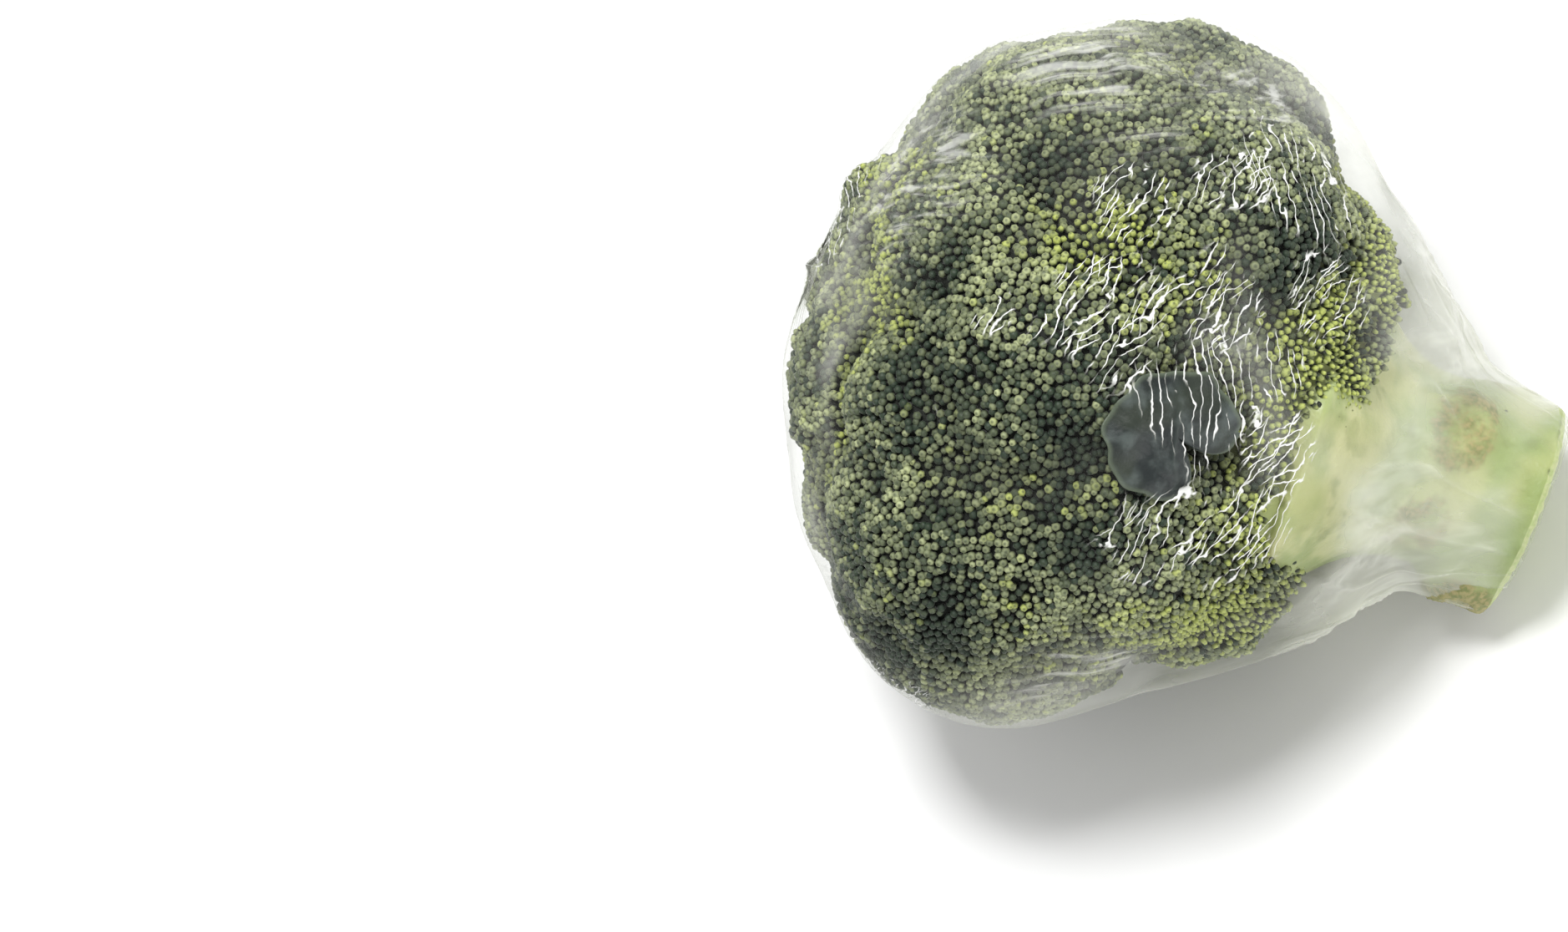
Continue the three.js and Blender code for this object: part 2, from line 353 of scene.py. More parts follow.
def budTemplate(sides=6):
    # A bud of radius 1 about +Z: rings of its profile, closed by a vertex at each end.
    profile = np.array([[0.60, 0.86], [0.99, 0.30], [0.86, -0.45]])
    around = evenTurns(sides)
    rings, walls = [], []
    for k, (radius, height) in enumerate(profile):
        bent = around + 0.3 * k
        rings.append(np.stack([radius * np.cos(bent), radius * np.sin(bent), height + 0 * bent], -1))
    points = np.concatenate([[[0, 0, 1.08]], *rings, [[0, 0, -0.8]]])
    ring = 1 + np.arange(len(rings) * sides).reshape(-1, sides)
    for low, high in zip(ring[:-1], ring[1:]):
        lowNext, highNext = np.roll(low, -1), np.roll(high, -1)
        walls += [np.stack([low, high, lowNext], -1), np.stack([lowNext, high, highNext], -1)]
    end = len(points) - 1
    return points, np.concatenate([ringFan(0, ring[0]), *walls, ringFan(end, ring[-1][::-1])])


# Spots where the rim opens and the pale stem is seen.
bareSpots = [(43, -14, -53, 13.5), (36, -14, -62, 13), (36, -23, -57, 9.5)]


def nearSpots(local, spots):
    return np.any([spotAway(local, spot) < 1 for spot in spots], axis=0)


def clusterHeads(dice):
    # Clusters start on an even spiral over the crown and are pushed apart until they are evenly spaced
    # on its real, lumpy surface.
    spacing, lowest = buds["clusterSpacing"], buds["lowest"]
    area = 2 * math.pi * buds["capRadius"] ** 2 * (1 - math.cos(lowest))
    rays = spiralCap(int(area / (0.866 * spacing**2)), lowest)
    rays = unit(rays + dice.normal(0, 0.012, rays.shape))
    for _ in range(8):
        points = rays * crownReach(rays)[:, None]
        between = points[:, None] - points[None]
        away = np.linalg.norm(between, axis=2) + 1e-9
        push = (between * (np.clip(1 - away / (1.25 * spacing), 0, 1) / away)[..., None]).sum(1)
        rays = unit(points + 0.35 * spacing * push)
    return rays


def budPlaces(dice):
    # In each cluster, buds follow a sunflower spiral in the plane that touches the crown there. A bud
    # is kept where its own cluster is the nearest one, and where its floret reaches out far enough.
    spacing, clusterSpacing = buds["spacing"], buds["clusterSpacing"]
    heads = clusterHeads(dice)
    headReach = crownReach(heads)
    headPoints = heads * headReach[:, None]
    headNormals = crownNormals(heads, headReach)
    side, other = frameAbout(headNormals)
    steps = np.arange(int(1.9 * clusterSpacing**2 / spacing**2))
    away = 0.525 * spacing * np.sqrt(steps + 0.4)
    around = steps * goldenAngle + dice.uniform(0, 6.28, (len(heads), 1))
    offsets = side[:, None] * np.cos(around)[..., None] + other[:, None] * np.sin(around)[..., None]
    offsets = offsets * away[:, None]
    offsets = offsets + dice.normal(0, buds["jitter"], offsets.shape)
    rays = unit(headPoints[:, None] + offsets).reshape(-1, 3)
    cluster = np.repeat(np.arange(len(heads)), len(steps))
    reach = crownReach(rays)
    points = rays * reach[:, None]
    weight = (dice.normal(0, 0.06, len(heads)) * clusterSpacing**2).astype(np.float32)
    squares = (points**2).sum(1)[:, None] + (headPoints**2).sum(1) - 2 * points @ headPoints.T
    squares = squares.astype(np.float32) + weight
    own = squares[np.arange(len(points)), cluster]
    least = np.partition(squares, 1, axis=1)[:, :2]
    gap = (least[:, 1] - least[:, 0]) / (2 * clusterSpacing**2)
    reaches = domeReaches(rays)
    floret = reaches.argmax(1)
    directions = np.stack([dome["direction"] for dome in domes]) @ plantAxes.T
    bases = np.array([dome["base"] for dome in domes])
    polar = np.arccos(np.clip(rays[:, 2], -1, 1))
    above = ((points * directions[floret]).sum(1) > bases[floret] + 0.001) | (polar < 2.0)
    bare = (reaches.max(1) < reach - 0.0075) & (polar > 2.0) | nearSpots(points, bareSpots)
    kept = (own <= least[:, 0] + 0.36 * clusterSpacing * spacing) & above & ~bare
    rays, points, reach, gap, floret = rays[kept], points[kept], reach[kept], gap[kept], floret[kept]
    cluster = cluster[kept]
    normals = crownNormals(rays, reach)
    outwards = points - headPoints[cluster]
    outwards = unit(outwards - normals * (outwards * normals).sum(1, keepdims=True))
    near = 1 - rise(gap, -0.05, 0.30)
    rim = rise(polar[kept], 2.05, 2.35)
    normals = unit(normals + 0.25 * outwards * near[:, None] - [0, 0, 0.9] * rim[:, None])
    return {"points": toWorld(points), "normals": normals @ plantAxes, "rim": rim, "cluster": cluster,
            "floret": floret, "drop": buds["clusterDepth"] * near**1.7,
            "valley": rise(ovalReach(rays) - reach, 0.0022, 0.0060), "hollow": hollowShare(rays)}


def addFlorets(material):
    dice = np.random.default_rng(100)
    places = budPlaces(dice)
    count = len(places["points"])
    template, triangles = budTemplate()
    clusterTone = dice.normal(0, 1, places["cluster"].max() + 1)[places["cluster"]]
    yellow = yellowness(places["points"]) + 0.22 * places["valley"] + 0.06 * clusterTone
    yellow = yellow + 0.40 * places["rim"] + 0.15 * dice.normal(0, 1, count)
    opened = rise(yellow, 0.35, 0.9)
    uneven = dice.normal(0, buds["uneven"], count)
    size = buds["size"] * (0.98 - 0.22 * opened - 0.18 * places["rim"] + uneven)
    turned = dice.normal(0, 1, (count, 3)) * (0.13 + 0.30 * opened)[:, None]
    normals = unit(places["normals"] + turned)
    sunk = size * 1.08 + places["drop"] + np.abs(dice.normal(0, buds["sink"], count))
    points = places["points"] - normals * sunk[:, None]
    side, other = frameAbout(normals)
    spin = dice.uniform(0, 6.28, count)[:, None]
    side, other = np.cos(spin) * side + np.sin(spin) * other, np.cos(spin) * other - np.sin(spin) * side
    tall = 1.12 + 0.6 * opened + 1.1 * places["rim"] * dice.uniform(0.2, 1, count)
    x, y, z = [template[None, :, axis, None] for axis in range(3)]
    shape = x * side[:, None] + y * other[:, None] + tall[:, None, None] * z * normals[:, None]
    budPoints = points[:, None] + size[:, None, None] * shape
    tone = 0.46 + 0.10 * clusterTone + 0.27 * dice.normal(0, 1, count) + 0.10 * lumps(points, 0.03, 61)
    # Buds are darker in the crown's hollows and in the dark spots: painted shade, added to their own
    # random tone.
    tone = tone - 0.24 * (places["hollow"] - 0.6)
    local = toPlant(points)
    tone = tone - 0.55 * spotShare(local, darkBudAndShadeSpots)
    # How deep each bud sits, how far into a valley, and the gap and dark spots: the mask of painted
    # shade in the hollows.
    hollow = np.clip(rise(places["drop"], 0, 0.0012) + 0.6 * places["valley"], 0, 1)
    hollow = hollow + 1.5 * spotShare(local, shadowGapSpots) + 0.40 * spotShare(local, darkBudAndShadeSpots)
    each = len(template)
    for number, dome in enumerate(domes):
        mine = places["floret"] == number
        starts = np.arange(mine.sum())[:, None, None] * each
        corePoints, coreFaces = coreSurface(dome)
        filler = np.zeros(len(corePoints))
        ownPoints = np.concatenate([budPoints[mine].reshape(-1, 3), corePoints])
        budFaces = (starts + triangles[None]).reshape(-1, 3)
        ownFaces = np.concatenate([budFaces, coreFaces + mine.sum() * each])
        # The floret's core gets the lowest height and full hollow value, so the skin paints it
        # near-black: painted shade under the buds.
        piece = addPiece(
            dome["name"].replace("floret", "buds"), ownPoints, [ownFaces], material,
            height=np.concatenate([np.tile((template[:, 2] + 0.8) / 1.88, mine.sum()), filler]),
            tone=np.concatenate([np.repeat(tone[mine], each), filler + 0.3]),
            yellow=np.concatenate([np.repeat(yellow[mine], each), filler]),
            hollow=np.concatenate([np.repeat(hollow[mine], each), filler + 1]),
            pale=np.concatenate([np.zeros(mine.sum() * each), filler + 1]))
        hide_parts(dome["name"])
    return count


def coreSurface(dome, rows=22, columns=30):
    # The floret's own flesh: from its middle to its ball, flat sides and base, rounded where they meet
    # and drawn in well under the buds.
    polar = np.linspace(0, math.pi, rows)[1:-1]
    around = evenTurns(columns)
    side, other = frameAbout(dome["direction"])
    ring = np.cos(around)[:, None] * side + np.sin(around)[:, None] * other
    rays = np.cos(polar)[:, None, None] * dome["direction"] + np.sin(polar)[:, None, None] * ring
    rays = np.concatenate([[dome["direction"]], rays.reshape(-1, 3), [-dome["direction"]]])
    offset = dome["middle"] - dome["centre"]
    along = rays @ offset
    ball = -along + np.sqrt(np.maximum(along**2 - offset @ offset + dome["radius"] ** 2, 0))
    facing = rays @ dome["sideNormals"].T
    room = dome["sideLevels"] - dome["sideNormals"] @ dome["middle"]
    sides = np.where(facing > 1e-4, room / np.maximum(facing, 1e-4), 1.0).min(1)
    down = -rays @ dome["direction"]
    floor = (dome["middle"] - crownCentre) @ dome["direction"] - dome["base"]
    base = np.where(down > 1e-4, floor / np.maximum(down, 1e-4), 1.0)
    reach = softLeast(softLeast(ball, sides, 0.005), base, 0.004)
    points = dome["middle"] + rays * np.maximum(reach - buds["coreDepth"], 0.3 * reach)[:, None]
    grid = 1 + gridFaces(rows - 2, columns, True)
    last = len(points) - 1
    fans = [ringFan(0, 1 + np.arange(columns)), ringFan(last, last - 1 - np.arange(columns))]
    return points, np.concatenate([fans[0], grid[:, [0, 3, 1]], grid[:, [1, 3, 2]], fans[1]])


def addFlesh(material):
    # One skin just under all the buds, from the crown's top to its rim, then closed through the middle.
    rows, columns = buds["fleshRows"], buds["fleshColumns"]
    around = evenTurns(columns)
    polar = np.concatenate([np.linspace(0.01, 2.30, rows - 8), np.linspace(2.33, 3.0, 8)])
    polar = polar[:, None] + 0 * around
    rays = plantRays(polar, around)
    reach = crownReach(rays.reshape(-1, 3)).reshape(polar.shape)
    reach = (reach - buds["fleshDepth"]) * (1 - 0.45 * rise(polar, 2.15, 2.9))
    points = (rays * reach[..., None]).reshape(-1, 3)
    ends = np.array([[0, 0, points[:columns, 2].mean()], [0, 0, points[-columns:, 2].mean()]])
    grid = gridFaces(rows, columns, True)[:, ::-1]
    fans = endFans(rows, columns)[:, ::-1]
    zeros = np.zeros(len(points) + 2)
    pale = np.concatenate([rise(polar, 2.05, 2.35).ravel(), [0, 1]])
    # The flesh gets the lowest height and full hollow value, so the skin paints it near-black as painted
    # shade under the buds; only its pale rim shows the stem colour.
    piece = addPiece("flesh", toWorld(np.concatenate([points, ends])), [grid, fans], material,
                     height=zeros, tone=zeros + 0.3, yellow=zeros, hollow=zeros + 1, pale=pale)
    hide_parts("stalk")


# Spots where buds are darker, partly their own darker colour and partly painted shade; where a dark gap
# of painted shadow lies; and where buds are yellower.
darkBudAndShadeSpots = [
    (62, -9, -25, 7), (46, 38, -30, 9), (50, 34, -32, 12), (66, -20, 0, 11), (40, -58, 14, 16),
    (58, -14, 36, 12), (8, -66, 26, 18), (56, -34, -8, 8), (-40, -10, 40, 20), (-50, 20, -30, 20),
]
shadowGapSpots = [(61, -10, -28, 6.5), (63, -6, -22, 5)]
yellowSpots = [
    (64, 20, -7, 13), (39, 6, 50, 13), (20, 40, -50, 14), (45, 14, -44, 13), (48, -30, -38, 17),
    (30, -45, -35, 13), (52, 3, -36, 10), (35, 20, 50, 14), (-30, 45, -40, 16), (-50, -30, -30, 16),
]


def yellowness(points):
    local = toPlant(points)
    mottle = 0.17 * lumps(local, buds["yellowSize"], 5) + 0.10 * lumps(local, 0.007, 6)
    return np.clip(0.62 * spotShare(local, yellowSpots) + mottle, 0, 1)


def budSkin():
    skin = Skin("budSkin")
    height, tone, yellow = skin.kept("height"), skin.kept("tone"), skin.kept("yellow")
    hollow, pale = skin.kept("hollow"), skin.kept("pale")
    speckle = skin.noise(2600.0, 2.0)
    # Each bud's top is painted in lit colours and its lower part in shade colours, green and yellow buds
    # alike: painted light and shade on every bud, over its own random tone.
    top = skin.between(height + 0.30 * (speckle - 0.5), 0.36, 0.88)
    shade = skin.blend(tone, (0.003, 0.006, 0.003, 1), (0.026, 0.034, 0.014, 1))
    litBudColour = skin.blend(tone, (0.024, 0.044, 0.024, 1), (0.500, 0.545, 0.290, 1))
    green = skin.blend(top * (1 - 0.65 * hollow), shade, litBudColour)
    lime = skin.blend(top, (0.060, 0.090, 0.006, 1), (0.500, 0.560, 0.140, 1))
    colour = skin.blend(skin.between(yellow + 0.35 * (tone - 0.5), 0.25, 0.90), green, lime)
    colour = skin.blend(skin.between(height, 0.88, 0.98) * 0.70, colour, (0.030, 0.042, 0.020, 1))
    # Painted shade: the lower sides of the buds, and the flesh and cores under them, go near-black.
    colour = skin.blend(skin.between(height, 0.70, 0.26) * 0.96, colour, (0.003, 0.005, 0.002, 1))
    # Painted shadow: in the deepest hollows and the dark gap under the leaf the buds go near-black.
    colour = skin.blend(skin.between(hollow, 0.95, 1.5) * 0.95, colour, (0.002, 0.003, 0.002, 1))
    stem = skin.blend(skin.noise(200.0), (0.36, 0.43, 0.16, 1), (0.52, 0.55, 0.24, 1))
    colour = skin.blend(pale, colour, stem)
    bump = skin.bump(0.35, 0.0004, speckle)
    return skin.finish(Base_Color=colour, Roughness=0.48 + 0.25 * hollow, Normal=bump,
                       Specular_IOR_Level=0.45, Sheen_Weight=0.15, Sheen_Roughness=0.4)


budMaterial = budSkin()
total = addFlorets(budMaterial)
addFlesh(budMaterial)
say(f"{len(domes)} florets with {total} buds")


# Stalk
stalk = {
    "radius": 0.0195, "length": 0.094, "lean": 0.005, "edge": 0.0016, "columns": 220,
    # it widens into the branches, and bulges to the front where the rim is open
    "flare": 0.021, "flareFrom": -0.070, "flareTo": -0.044, "bulge": 0.009, "bulgeTurn": -19,
    # cut leaf bases: distance from the crown's centre, turn, half width along and round, height
    "scarHeight": 0.003,
    "scars": [
        (0.086, -92, 0.011, 0.013, 1.7), (0.074, 28, 0.010, 0.014, 0.7),
        (0.082, 100, 0.010, 0.013, 0.5), (0.072, -38, 0.009, 0.011, 0.5),
        (0.070, 165, 0.010, 0.013, 0.8), (0.084, -160, 0.009, 0.012, 0.8),
    ],
}


def scarField(distance, around):
    # The height of the leaf bases, each a smooth mound, and how near the middle of one is.
    heights, middles = [], []
    for place, scarTurn, halfAlong, halfRound, share in stalk["scars"]:
        swing = turnFrom(around, scarTurn) * stalk["radius"]
        away = np.hypot((distance - place) / halfAlong, swing / halfRound)
        heights.append(share * stalk["scarHeight"] * rise(1 - away, 0, 0.6))
        middles.append(rise(1 - away, 0.05, 0.45) * min(1.0, 0.45 + 0.35 * share))
    return np.max(heights, axis=0), np.max(middles, axis=0)


def stemProfile():  # how far out and how high: the cut end, its rounded edge, the side, the top
    radius, length, edge = stalk["radius"], stalk["length"], stalk["edge"]
    cut = np.linspace(0.04, 1, 22) * (radius - edge)
    bend = np.linspace(0, math.pi / 2, 6)[1:-1]
    side = np.linspace(-length + edge, -0.014, 110)
    bendOut, bendUp = radius - edge + edge * np.sin(bend), -length + edge - edge * np.cos(bend)
    across = np.concatenate([cut, bendOut, np.full(len(side), radius), [0.7 * radius]])
    return across, np.concatenate([np.full(len(cut), -length), bendUp, side, [-0.008]])


def stemSwell(local, across, height, around):  # leaf bases, ribs, pits, the flare and the bulge
    radius = stalk["radius"]
    mound, middle = scarField(-height, around)
    ribs = 0.00004 * np.sin(41 * around + 3 * lumps(local, 0.02, 3)) + 0.00045 * lumps(local, 0.018, 4)
    pits = 0.00016 * lumps(local, 0.0016, 8) * (0.3 + middle)
    flare = (height - stalk["flareFrom"]) / (stalk["flareTo"] - stalk["flareFrom"])
    flare = np.clip(flare, 0, 1) ** 1.8
    swing = turnFrom(around, stalk["bulgeTurn"])
    bulge = rise(height, -0.074, -0.053) * rise(height, -0.028, -0.051) * np.exp(-((swing / 0.6) ** 2))
    flutes = 1 + 0.10 * np.sin(7 * around + 1.0) + 0.06 * np.sin(11 * around)
    swell = mound + (ribs + pits) * rise(across, 0.8 * radius, radius)
    return swell + stalk["flare"] * flare * flutes + stalk["bulge"] * bulge, middle


def addStem(material):
    # The profile turned about the stalk. It swells at the leaf bases and leans to one side.
    radius, length, edge, columns = stalk["radius"], stalk["length"], stalk["edge"], stalk["columns"]
    across, height = stemProfile()
    rows = len(across)
    around = evenTurns(columns)
    across, height = across[:, None] + 0 * around, height[:, None] + 0 * around
    around = around + 0 * across
    local = np.stack([across * np.cos(around), across * np.sin(around), height], -1)
    swell, middle = stemSwell(local, across, height, around)
    share = rise(across, 0.3 * radius, radius)
    dome = 0.0007 * (1 - (across / radius) ** 2) + 0.00012 * lumps(local, 0.003, 6)
    onCut = height < -length + edge * 0.9
    local[..., :2] *= (1 + swell * share / np.maximum(across, 1e-4))[..., None]
    local[..., 2] -= np.where(onCut, np.minimum(dome, 0.0004) - 0.0004, 0)
    local[..., 1] += stalk["lean"] * rise(-height, 0, length)
    flat = local.reshape(-1, 3)
    ends = np.array([[0, stalk["lean"], -length], [0, 0, -0.006]])
    points = toWorld(np.concatenate([flat, ends]))
    faces = [gridFaces(rows, columns, True), endFans(rows, columns)]
    scar = np.concatenate([middle.ravel(), [0, 0]])
    cutEnd = np.concatenate([np.where(onCut, 1.0, 0).ravel(), [1, 0]])
    piece = addPiece("stem", points, faces, material, scar=scar, cutEnd=cutEnd)
    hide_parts("stalk")


def addBranches(material, sides=14, steps=16):
    # Tapered tubes from the stem to the florets' bases: a ring of radius carried along a bent path.
    t = np.linspace(0, 1, steps)[:, None]
    around = evenTurns(sides)
    quads = gridFaces(steps, sides, True)
    triangles = np.concatenate([quads[:, [0, 1, 2]], quads[:, [0, 2, 3]], endFans(steps, sides)])
    points, faces = [], []
    for dome in domes:
        along = dome["direction"] @ plantTop
        start = crownCentre + plantTop * min(0.0, along * 0.036)
        end = crownCentre + dome["direction"] * (dome["base"] + 0.004)
        outwards = dome["direction"] - along * plantTop
        mid = (start + end) / 2 + 0.004 * plantTop * (-1 if along > 0 else 1) + 0.002 * outwards
        path = (1 - t) ** 2 * start + 2 * t * (1 - t) * mid + t**2 * end
        thick = (0.0085 if dome["radius"] > 0.03 else 0.005) * (1 - 0.25 * t + 0.3 * t**6)
        side, other = frameAbout(unit(end - start))
        ring = np.cos(around)[:, None] * side + np.sin(around)[:, None] * other
        tube = path[:, None] + ring[None] * (thick * (1 + 0.05 * np.sin(5 * around)))[..., None]
        offset = sum(map(len, points))
        points.append(np.concatenate([tube.reshape(-1, 3), path[:1], path[-1:]]))
        faces.append(offset + triangles)
    points = np.concatenate(points)
    piece = addPiece("branches", points, [np.concatenate(faces)], material,
                     scar=np.zeros(len(points)), cutEnd=np.zeros(len(points)))
    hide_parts("stalk")


def stemSkin():
    skin = Skin("stemSkin")
    scar, cutEnd = skin.kept("scar"), skin.kept("cutEnd")
    patches, fine = skin.noise(70.0, 3.0), skin.noise(900.0, 3.0)
    dot = {"operation": "DOT_PRODUCT"}
    # The stalk is painted pale near the crown and darker towards the cut end: painted light and shade
    # along it.
    along = skin.node("VectorMath", dot, {0: skin.place(), 1: plantTop.tolist()}, "Value")
    paintedStalkShading = skin.between(along + 0.02 * (patches - 0.5), -0.012, -0.052)
    colour = skin.blend(paintedStalkShading, (0.64, 0.64, 0.34, 1), (0.31, 0.38, 0.14, 1))
    colour = skin.blend(skin.between(patches, 0.40, 0.60) * 0.75, colour, (0.27, 0.36, 0.12, 1))
    dark = skin.between(skin.noise(150.0, 3.0), 0.52, 0.70)
    colour = skin.blend(dark * 0.55, colour, (0.20, 0.25, 0.07, 1))
    light = skin.between(skin.noise(45.0, 2.0), 0.46, 0.64)
    colour = skin.blend(light * 0.6, colour, (0.56, 0.56, 0.26, 1))
    torn = 0.4 * (fine - 0.5) + 1.2 * (skin.noise(230.0, 3.0) - 0.5)
    worn = skin.between(0.8 * scar + torn, 0.26, 0.72)
    grain = skin.between(fine, 0.35, 0.65)
    bark = skin.blend(grain, (0.14, 0.15, 0.045, 1), (0.36, 0.28, 0.13, 1))
    colour = skin.blend(worn * 0.75, colour, bark)
    rings = skin.blend(grain, (0.50, 0.54, 0.27, 1), (0.40, 0.48, 0.20, 1))
    colour = skin.blend(cutEnd, colour, rings)
    dots = skin.node("TexVoronoi", {}, {"Vector": skin.place(), "Scale": 130.0})
    speck = skin.between(dots, 0.10, 0.05) * skin.between(skin.noise(140.0, 1.0), 0.62, 0.66)
    colour = skin.blend(speck, colour, (0.06, 0.07, 0.03, 1))
    bump = skin.bump(0.35, 0.0005, fine + 0.6 * patches)
    return skin.finish(
        Base_Color=colour, Roughness=0.38 + 0.25 * worn, Normal=bump, Subsurface_Weight=0.15,
        Subsurface_Radius=(0.004, 0.005, 0.002), Subsurface_Scale=0.5)


stemMaterial = stemSkin()
addStem(stemMaterial)
addBranches(stemMaterial)
say("stem and branches")


# Leaf
leaf = {
    "polar": 105, "turn": -8, "spin": 20, "width": 0.029, "height": 0.026,
    "notch": 0.86, "notchTurn": -50, "notchWidth": 0.33,
    "bridge": 0.97, "thickness": 0.0007, "rings": 36, "columns": 160, "coverRadius": 0.067,
}


leafWay = plantRays(math.radians(leaf["polar"]), math.radians(leaf["turn"]))


def addLeaf(material):
    # Two blades over the domes: a disc of rings with a notch, bent to the crown, with a rib, side veins
    # and a wavy edge, and the same again below for its underside.
    facing = leafWay
    spin = math.radians(leaf["spin"])
    across = math.cos(spin) * np.array([0, 0, -1.0]) + math.sin(spin) * np.cross(facing, [0, 0, -1.0])
    across = unit(across - facing * (across @ facing))
    upwards = np.cross(facing, across)
    around = evenTurns(leaf["columns"])
    out = np.linspace(0.02, 1, leaf["rings"])[:, None]
    off = turnFrom(around, leaf["notchTurn"])
    outline = 1 - leaf["notch"] * np.exp(-((np.abs(off) / leaf["notchWidth"]) ** 1.6))
    outline = outline * (1 + 0.035 * np.sin(7 * around) + 0.02 * np.sin(13 * around))
    outline = outline * (1 - 0.10 * np.exp(-(((around - 0.2) / 0.6) ** 2)))
    u = out * outline * np.cos(around) * leaf["width"] / 2
    v = out * outline * np.sin(around) * leaf["height"] / 2
    rays = unit(facing * ovalReach(facing) + u[..., None] * across + v[..., None] * upwards)
    reach = crownReach(rays.reshape(-1, 3)).reshape(u.shape)
    reach = np.maximum(reach, leaf["bridge"] * ovalReach(rays)) + 0.0004
    bent = u + 0.0006 * lumps(np.stack([u, v, 0 * u], -1), 0.009, 22)
    branching = (np.abs(bent) * 0.7 - v + 0.02) % 0.0052 - 0.0026
    rib = np.exp(-((bent / 0.0006) ** 2)) + 0.35 * np.exp(-((branching / 0.0004) ** 2))
    wave = 0.0007 * lumps(np.stack([u, v, 0 * u], -1), 0.012, 21) * out
    fold = 0.0012 * np.exp(-((off[None] / 0.5) ** 2)) * out**2
    lift = 0.00022 * rib * (1 - out**6) + wave - fold
    thick = leaf["thickness"] * (0.2 + 0.8 * np.sqrt(np.clip(1 - out**8, 0, 1)))
    top = rays * (reach + leaf["thickness"] + lift)[..., None]
    under = rays * (reach + leaf["thickness"] + lift - thick)[..., None]
    rows, columns = leaf["rings"], leaf["columns"]
    middles = [top[0].mean(0), under[0].mean(0)]
    points = np.concatenate([top.reshape(-1, 3), under.reshape(-1, 3), middles])
    grid = gridFaces(rows, columns, True)
    count = rows * columns
    rim = (rows - 1) * columns + np.arange(columns)
    after = np.roll(rim, -1)
    seam = np.stack([rim, rim + count, after + count, after], -1)
    first = np.arange(columns)
    fans = np.concatenate([ringFan(2 * count, first), ringFan(2 * count + 1, count + first[::-1])])
    vein = np.concatenate([rib.ravel(), rib.ravel(), [1, 1]])
    edge = np.concatenate([(out + 0 * u).ravel()] * 2 + [[0, 0]])
    faces = [np.concatenate([grid[:, ::-1], grid + count, seam]), fans]
    piece = addPiece("leafBlade", toWorld(points), faces, material, vein=np.clip(vein, 0, 1), edge=edge)
    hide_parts("leaf")


def leafSkin():
    skin = Skin("leafSkin")
    vein, edge = skin.kept("vein"), skin.kept("edge")
    patches, fine = skin.noise(210.0, 4.0), skin.noise(1500.0, 2.0)
    broad = skin.between(skin.noise(75.0, 2.0), 0.42, 0.62)
    colour = skin.blend(broad, (0.006, 0.011, 0.012, 1), (0.020, 0.028, 0.018, 1))
    colour = skin.blend(skin.between(patches, 0.46, 0.74) * 0.8, colour, (0.085, 0.105, 0.100, 1))
    colour = skin.blend(0.15 * vein, colour, (0.12, 0.15, 0.13, 1))
    colour = skin.blend(skin.between(edge, 0.90, 1.0) * 0.5, colour, (0.16, 0.20, 0.13, 1))
    bump = skin.bump(0.3, 0.0003, fine + 3 * patches)
    return skin.finish(Base_Color=colour, Roughness=0.30 + 0.3 * patches, Normal=bump)


addLeaf(leafSkin())
say("leaf")


# Film
film = {
    "columns": 430, "rows": 200, "overlap": 0.06, "inset": 0.0001, "sag": 0.30, "flat": (0.27, 0.25),
    "streakHeight": 0.00012, "crumpleHeight": 0.00035, "foldHeight": 0.0008, "gatherHeight": 0.0007,
    "waveHeight": 0.0005, "stepHeight": 0.0006,
    "creaseLean": 64.0, "lowLean": 38.0, "steepLean": 97.0, "pullLean": 8.0,
    "creaseWidth": 0.0019, "lineWidth": 0.10,
}

# Spots where white glints are painted along the film's creases, slantwise, and steeply.
creaseGlintSpots = [
    (62, 31, 5, 8.5), (56, 41, -12, 7), (69, 8, 3, 11), (65, 18, -17, 9), (49, 26, -37, 8.5),
    (55, -5, -38, 8), (64, 1, 23, 4), (60, -28, -21, 8.5), (52, -22, -36, 10), (-50, 30, 20, 12),
    (-60, -20, 5, 12), (0, -68, 10, 11),
]
steepSpots = [
    (47, 46, -24, 12), (64, -1, -20, 10.5), (56, 10, -32, 6), (10, 10, 58, 12), (-40, 55, -15, 10),
]

# Spots where it is pulled into fine parallel lines, and where it stands off the buds and how far.
pullSpots = [
    (36, 52, 18, 24), (40, 20, 45, 20), (40, 62, -10, 18), (40, -58, -20, 16), (-40, 40, 30, 25),
    (-30, -50, 20, 25),
]
standSpots = [(64, -9, -17, 22, 1.8), (4, 66, -29, 20, 4.2), (30, 50, 32, 18, 1.2)]

# Spots where it is hazy, and where it is clearest.
hazeSpots = [(10, 63, -22, 15), (16, -68, -8, 18), (12, 40, -60, 14)]
clearSpots = [
    (24, 13, -77, 9), (62, -9, -26, 10), (37, -60, 13, 22), (51, 32, -32, 14), (62, 2, 30, 12),
]


def filmHull():
    # The faces of the tightest convex cover of the florets, leaf and bare stalk: normals and levels.
    clouds = []
    for name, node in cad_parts.items():
        if name.startswith("floret_") or name == "leaf":
            clouds.append(toPlant(cornersOf(node)))
    around = evenTurns(48)
    for wider, higher in ((0.0006, 0.0012), (-0.0006, -0.0004)):  # two rings round the cut end
        radius, height = stalk["radius"] + wider, -stalk["length"] + higher
        ring = [radius * np.cos(around), radius * np.sin(around) + stalk["lean"], 0 * around + height]
        clouds.append(np.stack(ring, -1))
    made = bmesh.new()
    for point in np.concatenate(clouds).tolist():
        made.verts.new(point)
    bmesh.ops.convex_hull(made, input=made.verts)
    faces = [face for face in made.faces if face.calc_area() > 1e-9]
    planes = np.array([[*face.normal, face.normal.dot(face.verts[0].co)] for face in faces])
    made.free()
    planes = planes[planes[:, 3] > 0.01]
    return planes[:, :3], planes[:, 3]


